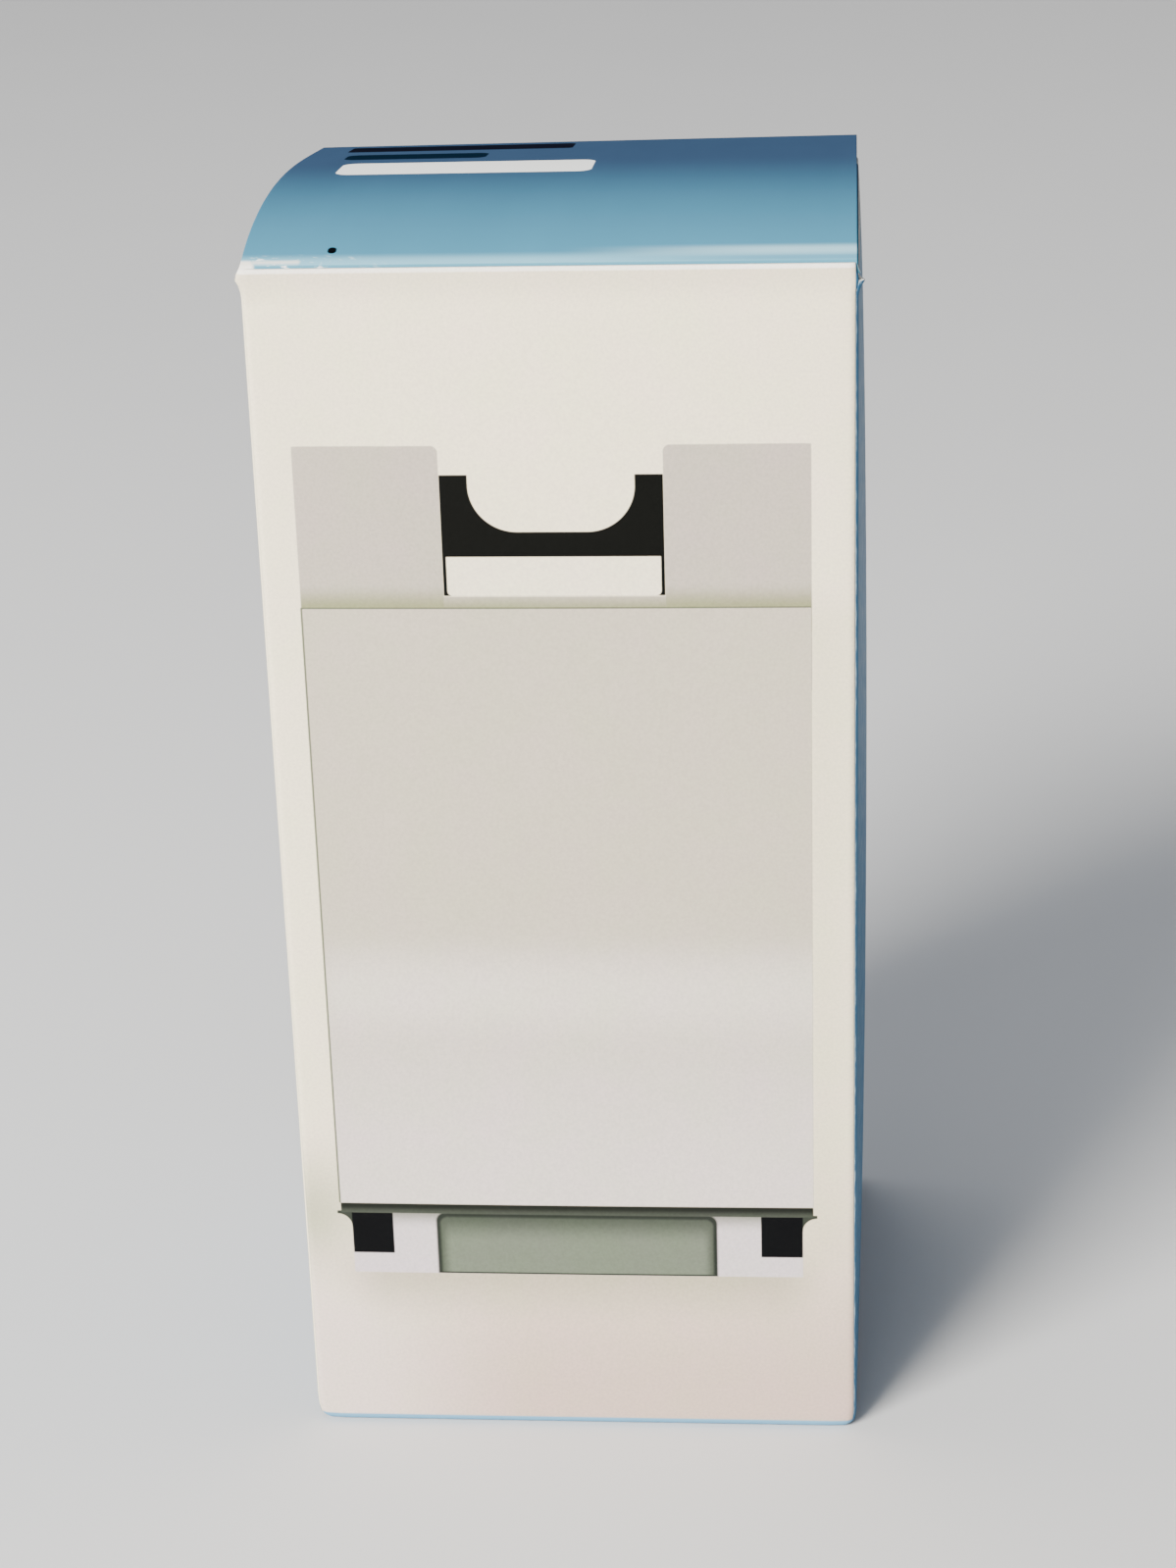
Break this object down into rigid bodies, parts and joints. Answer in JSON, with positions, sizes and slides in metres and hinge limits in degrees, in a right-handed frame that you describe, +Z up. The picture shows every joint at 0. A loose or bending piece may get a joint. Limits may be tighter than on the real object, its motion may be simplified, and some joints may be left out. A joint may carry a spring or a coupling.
{
  "type": "boxed smart switch",
  "caption": "Closed tuck-end retail carton with a bowed lid, holding a lift-out tray and a battery-powered smart switch actuator that clips over a wall toggle switch.",
  "frame": {"origin": "centre of the footprint of the carton's base, on the surface it stands on", "axes": "+Z up through the lid, -Y out of the printed front panel, +X to the right of someone facing that panel"},
  "size_m": [0.076, 0.072, 0.17],
  "materials": {
    "front_board": "coated boxboard, printed, satin",
    "board_liner": "uncoated board",
    "lid_board": "coated boxboard, glossy light blue",
    "tray_card": "white tray card, matte",
    "foam": "closed-cell foam",
    "leaflet_paper": "uncoated paper",
    "pad_foam": "foam tape",
    "screw_steel": "plated",
    "bracket_steel": "zinc plated",
    "housing_plastic": "fine spark texture",
    "cover_plastic": "fine spark texture",
    "chassis_steel": "galvanised",
    "black_rubber": "soft",
    "window_plastic": "smoked translucent",
    "board_laminate": "solder mask",
    "led_resin": "clear resin",
    "black_plastic": "satin",
    "white_plastic": "satin",
    "holder_plastic": "satin",
    "cell_jacket": "printed jacket",
    "spring_steel": "nickel plated",
    "shield_tin": "tinned",
    "chip_resin": "moulded",
    "button_plastic": "satin",
    "drive_brass": "machined",
    "motor_steel": "plated",
    "screw_rod": "rolled",
    "acetal": "moulded",
    "bush_bronze": "sintered",
    "carriage_plastic": "moulded",
    "lead_pvc": "extruded",
    "blue_board": "coated boxboard, satin blue"
  },
  "bodies": {
    "carton": {"front_panel": "front_board", "back_panel": "blue_board", "left_panel": "blue_board", "right_panel": "blue_board", "glue_flap": "board_liner", "bottom_closure": "blue_board", "bottom_tuck_flap": "blue_board", "bottom_dust_left": "blue_board", "bottom_dust_right": "blue_board"},
    "lid": {"top_lid": "lid_board"},
    "tuck_flap": {"top_tuck_flap": "lid_board"},
    "left_flap": {"dust_flap_left": "lid_board"},
    "right_flap": {"dust_flap_right": "lid_board"},
    "tray": {"tray_floor": "tray_card", "tray_left_wall": "tray_card", "tray_right_wall": "tray_card", "tray_rear_wall": "tray_card", "tray_divider": "tray_card", "foam_cheeks": "foam", "quick_guide": "leaflet_paper", "adhesive_pads": "pad_foam", "plate_screws": "screw_steel", "wall_bracket": "bracket_steel", "rear_housing": "housing_plastic", "front_cover": "cover_plastic", "chassis": "chassis_steel", "chassis_screws": "screw_steel", "corner_pads": "black_rubber", "light_window": "window_plastic", "led_board": "board_laminate", "status_led": "led_resin", "battery_holder": "holder_plastic", "batteries": "cell_jacket", "battery_springs": "spring_steel", "battery_plates": "spring_steel", "circuit_board": "board_laminate", "radio_module": "shield_tin", "board_chips": "chip_resin", "board_screws": "screw_steel", "push_switch": "holder_plastic", "gearbox": "drive_brass", "motor_can": "motor_steel", "screw_bushes": "bush_bronze", "guide_rail": "screw_rod", "motor_leads": "lead_pvc"},
    "latch": {"release_latch": "black_plastic", "latch_thumb_bar": "white_plastic"},
    "button": {"pairing_button": "button_plastic"},
    "motor_rotor": {"motor_shaft": "motor_steel", "motor_gear": "drive_brass"},
    "screw": {"leadscrew": "screw_rod", "screw_gear": "acetal"},
    "carriage": {"toggle_carriage": "carriage_plastic", "fork_pads": "black_rubber"}
  },
  "joints": [
    {"name": "tray_lift", "type": "slide", "parent": "carton", "child": "tray", "axis": [0, 0, 1], "range_m": [0, 0.1]},
    {"name": "lid_hinge", "type": "hinge", "parent": "carton", "child": "lid", "pos_m": [0, 0.0357, 0.165], "axis": [-1, 0, 0], "range_deg": [0, 178]},
    {"name": "tuck_fold", "type": "hinge", "parent": "lid", "child": "tuck_flap", "pos_m": [0, -0.0351, 0.165], "axis": [-1, 0, 0], "range_deg": [0, 72]},
    {"name": "left_flap_fold", "type": "hinge", "parent": "carton", "child": "left_flap", "pos_m": [-0.0377, 0, 0.1639], "axis": [0, -1, 0], "range_deg": [0, 178]},
    {"name": "right_flap_fold", "type": "hinge", "parent": "carton", "child": "right_flap", "pos_m": [0.0377, 0, 0.1639], "axis": [0, 1, 0], "range_deg": [0, 178]},
    {"name": "latch_slide", "type": "slide", "parent": "tray", "child": "latch", "axis": [0, 0, 1], "range_m": [0, 0.003]},
    {"name": "button_press", "type": "slide", "parent": "tray", "child": "button", "axis": [-1, 0, 0], "range_m": [0, 0.0006], "stiffness_N_per_m": 400},
    {"name": "screw_turn", "type": "hinge", "parent": "tray", "child": "screw", "pos_m": [0.02, -0.0094, 0.0024], "axis": [0, 0, 1], "range_deg": [-360, 360]},
    {"name": "motor_turn", "type": "hinge", "parent": "tray", "child": "motor_rotor", "pos_m": [0.02, -0.0174, 0.0024], "axis": [0, 0, 1], "range_deg": [-463, 463]},
    {"name": "carriage_slide", "type": "slide", "parent": "tray", "child": "carriage", "axis": [0, 0, 1], "range_m": [-0.008, 0.008]}
  ],
  "couplings": [
    {"joint": "lid_hinge", "follows": "tray_lift", "rad_per_m": 31.05},
    {"joint": "tuck_fold", "follows": "tray_lift", "rad_per_m": 12.42},
    {"joint": "left_flap_fold", "follows": "tray_lift", "rad_per_m": 31.05},
    {"joint": "right_flap_fold", "follows": "tray_lift", "rad_per_m": 31.05},
    {"joint": "screw_turn", "follows": "carriage_slide", "rad_per_m": -785.39},
    {"joint": "motor_turn", "follows": "carriage_slide", "rad_per_m": 1009.8}
  ]
}
